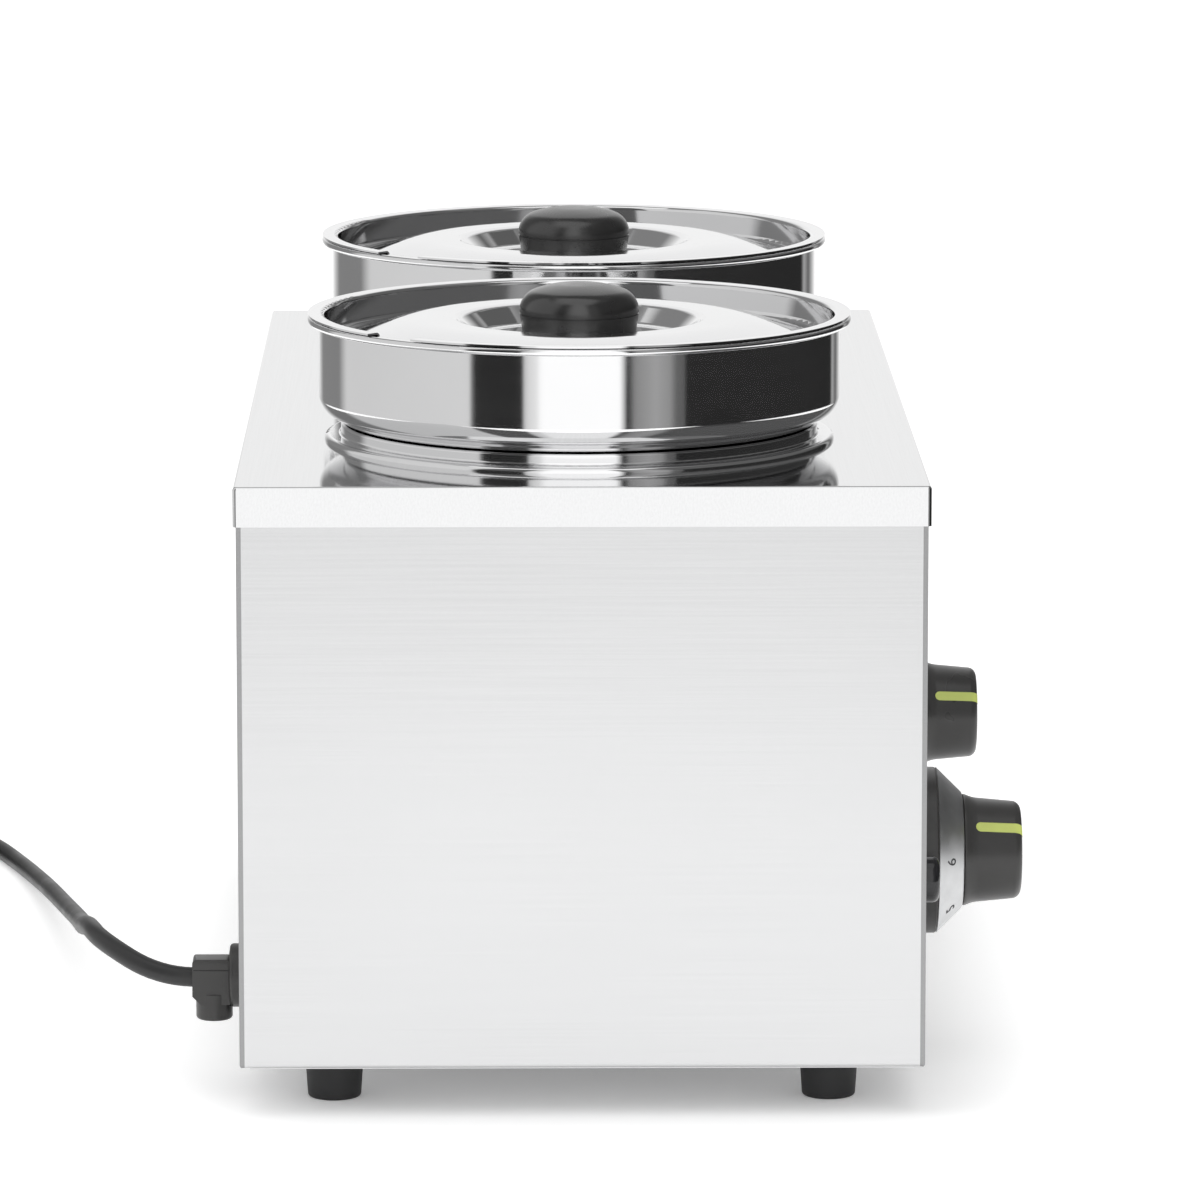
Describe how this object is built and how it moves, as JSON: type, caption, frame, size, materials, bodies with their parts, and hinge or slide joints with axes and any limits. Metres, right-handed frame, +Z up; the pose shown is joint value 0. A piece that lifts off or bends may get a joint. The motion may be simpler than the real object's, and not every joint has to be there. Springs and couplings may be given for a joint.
{
  "type": "twin-pot bain marie",
  "caption": "Counter-top bain marie: a long folded steel body with round lidded pots hanging in heated wells, a dial thermostat and switch for each, rubber feet and a mains lead.",
  "frame": {"origin": "middle of the object's footprint at the floor, without the mains lead", "axes": "+Z up, +X along the body to the right as seen from the knobs, -Y towards the user, at the knobs"},
  "size_m": [0.6106, 0.5877, 0.3328],
  "materials": {
    "satin_steel": "satin",
    "polished_steel": "polished",
    "zinc_steel": "matte",
    "element_steel": "matte",
    "copper_tube": "satin",
    "black_moulding": "satin",
    "limiter_resin": "matte",
    "silver_dial": "satin",
    "lime_inlay": "satin",
    "rocker_plastic": "gloss",
    "smoked_cap": "gloss",
    "black_rubber": "matte",
    "cord_rubber": "matte",
    "pin_metal": "satin",
    "pale_plastic": "matte",
    "wire_insulation": "satin"
  },
  "bodies": {
    "housing": {"base_plate": "zinc_steel", "base_screws": "zinc_steel", "capillary_bulb_left": "copper_tube", "capillary_bulb_right": "copper_tube", "clamp_block": "black_moulding", "clamp_screw": "black_moulding", "coil_tie": "black_moulding", "cord_coil": "cord_rubber", "deck": "satin_steel", "dial_bezel_left": "black_moulding", "dial_bezel_right": "black_moulding", "dial_plate_left": "silver_dial", "dial_plate_right": "silver_dial", "dry_run_limiter_left": "limiter_resin", "dry_run_limiter_right": "limiter_resin", "end_panel_left": "satin_steel", "end_panel_right": "satin_steel", "foot_left_front": "black_rubber", "foot_left_rear": "black_rubber", "foot_right_front": "black_rubber", "foot_right_rear": "black_rubber", "foot_screws": "zinc_steel", "front_panel": "satin_steel", "gland_flange": "black_moulding", "heater_clamp_left": "zinc_steel", "heater_clamp_right": "zinc_steel", "heater_nuts": "zinc_steel", "heating_element_left": "element_steel", "heating_element_right": "element_steel", "plug_body": "black_moulding", "plug_pins": "pin_metal", "power_cord": "cord_rubber", "rear_panel": "satin_steel", "switch_cap_left": "smoked_cap", "switch_cap_right": "smoked_cap", "switch_housing_left": "black_moulding", "switch_housing_right": "black_moulding", "terminal_block": "pale_plastic", "thermostat_body_left": "zinc_steel", "thermostat_body_right": "zinc_steel", "thermostat_screws": "zinc_steel", "well_left": "polished_steel", "well_right": "polished_steel", "wiring_loom": "wire_insulation"},
    "pot_left": {"pot_left": "polished_steel"},
    "lid_left": {"lid_left": "polished_steel", "lid_knob_left": "black_moulding", "lid_knob_screw_left": "zinc_steel"},
    "knob_left": {"control_knob_left": "black_moulding", "pointer_insert_left": "lime_inlay", "thermostat_shaft_left": "zinc_steel"},
    "rocker_left": {"switch_rocker_left": "rocker_plastic"},
    "pot_right": {"pot_right": "polished_steel"},
    "lid_right": {"lid_right": "polished_steel", "lid_knob_right": "black_moulding", "lid_knob_screw_right": "zinc_steel"},
    "knob_right": {"control_knob_right": "black_moulding", "pointer_insert_right": "lime_inlay", "thermostat_shaft_right": "zinc_steel"},
    "rocker_right": {"switch_rocker_right": "rocker_plastic"}
  },
  "joints": [
    {"name": "pot_lift_left", "type": "slide", "parent": "housing", "child": "pot_left", "axis": [0, 0, 1], "range_m": [0, 0.2]},
    {"name": "lid_lift_left", "type": "slide", "parent": "pot_left", "child": "lid_left", "axis": [0, 0, 1], "range_m": [0, 0.08]},
    {"name": "knob_turn_left", "type": "hinge", "parent": "housing", "child": "knob_left", "pos_m": [-0.1662, -0.1302, 0.0901], "axis": [0, 1, 0], "range_deg": [0, 325]},
    {"name": "rocker_tilt_left", "type": "hinge", "parent": "housing", "child": "rocker_left", "pos_m": [-0.23, -0.129, 0.0901], "axis": [1, 0, 0], "range_deg": [-18, 0]},
    {"name": "pot_lift_right", "type": "slide", "parent": "housing", "child": "pot_right", "axis": [0, 0, 1], "range_m": [0, 0.2]},
    {"name": "lid_lift_right", "type": "slide", "parent": "pot_right", "child": "lid_right", "axis": [0, 0, 1], "range_m": [0, 0.08]},
    {"name": "knob_turn_right", "type": "hinge", "parent": "housing", "child": "knob_right", "pos_m": [0.1662, -0.1302, 0.0901], "axis": [0, 1, 0], "range_deg": [0, 325]},
    {"name": "rocker_tilt_right", "type": "hinge", "parent": "housing", "child": "rocker_right", "pos_m": [0.23, -0.129, 0.0901], "axis": [1, 0, 0], "range_deg": [-18, 0]}
  ]
}
